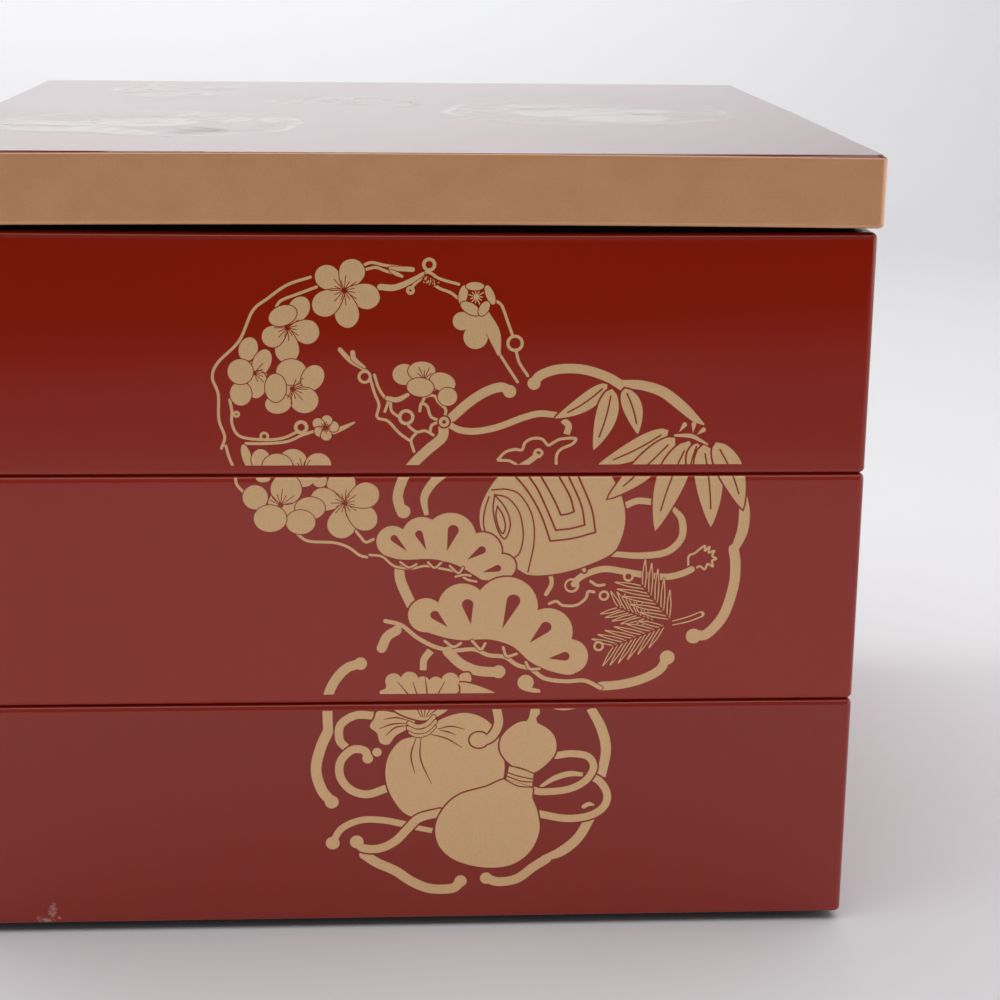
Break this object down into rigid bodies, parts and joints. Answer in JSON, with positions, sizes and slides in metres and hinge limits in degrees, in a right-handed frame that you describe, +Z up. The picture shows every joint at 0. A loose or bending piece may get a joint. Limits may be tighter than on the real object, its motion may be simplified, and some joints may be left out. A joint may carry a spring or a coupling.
{
  "type": "tiered lacquer box",
  "caption": "Square stacking food box: open trays nest on each other under a lift-off lid, in red lacquer with a gold picture on the front and top.",
  "frame": {"origin": "centre of the underside, on the plane of the foot's resting band", "axes": "+Z up through the tiers and the lid; -Y is the front face, which carries the gold picture; +X to the right seen from the front"},
  "size_m": [0.197, 0.197, 0.169],
  "materials": {
    "red_lacquer": "glossy red lacquer over a moulded resin body",
    "bronze_lacquer": "satin metallic bronze-gold lacquer on the lid's side, under clear coat",
    "gold_print": "fine gold powder print, slightly raised",
    "black_lacquer": "glossy black lacquer inside the tiers and under the lid"
  },
  "bodies": {
    "root": {"bottom_tier": "red_lacquer", "middle_tier": "red_lacquer", "top_tier": "red_lacquer", "lid": "bronze_lacquer"}
  },
  "joints": []
}
